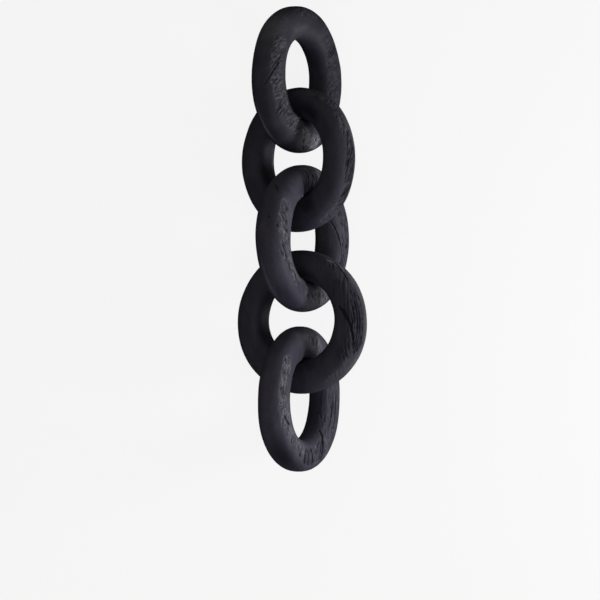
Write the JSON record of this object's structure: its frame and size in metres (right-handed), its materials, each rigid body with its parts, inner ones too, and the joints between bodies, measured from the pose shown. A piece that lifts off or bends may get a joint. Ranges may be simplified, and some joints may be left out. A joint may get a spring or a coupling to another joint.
{
  "type": "carved wooden chain",
  "caption": "Decorative chain of thick, round, hand-carved wooden rings linked through each other, stained black, laid out straight on a table.",
  "frame": {"origin": "on the table, below the middle of the chain's footprint", "axes": "+Y along the chain, from ring 5 to ring 1; +Z up from the table; +X to the right when looking down with +Y up"},
  "size_m": [0.1298, 0.4652, 0.1353],
  "materials": {
    "black_stained_wood": "black wood stain, rubbed to a low satin sheen, with the wood's grain standing out where the saw cut it"
  },
  "bodies": {
    "root": {"ring_1_far_end": "black_stained_wood", "ring_2": "black_stained_wood", "ring_3_middle": "black_stained_wood", "ring_4": "black_stained_wood", "ring_5_near_end": "black_stained_wood"}
  },
  "joints": []
}
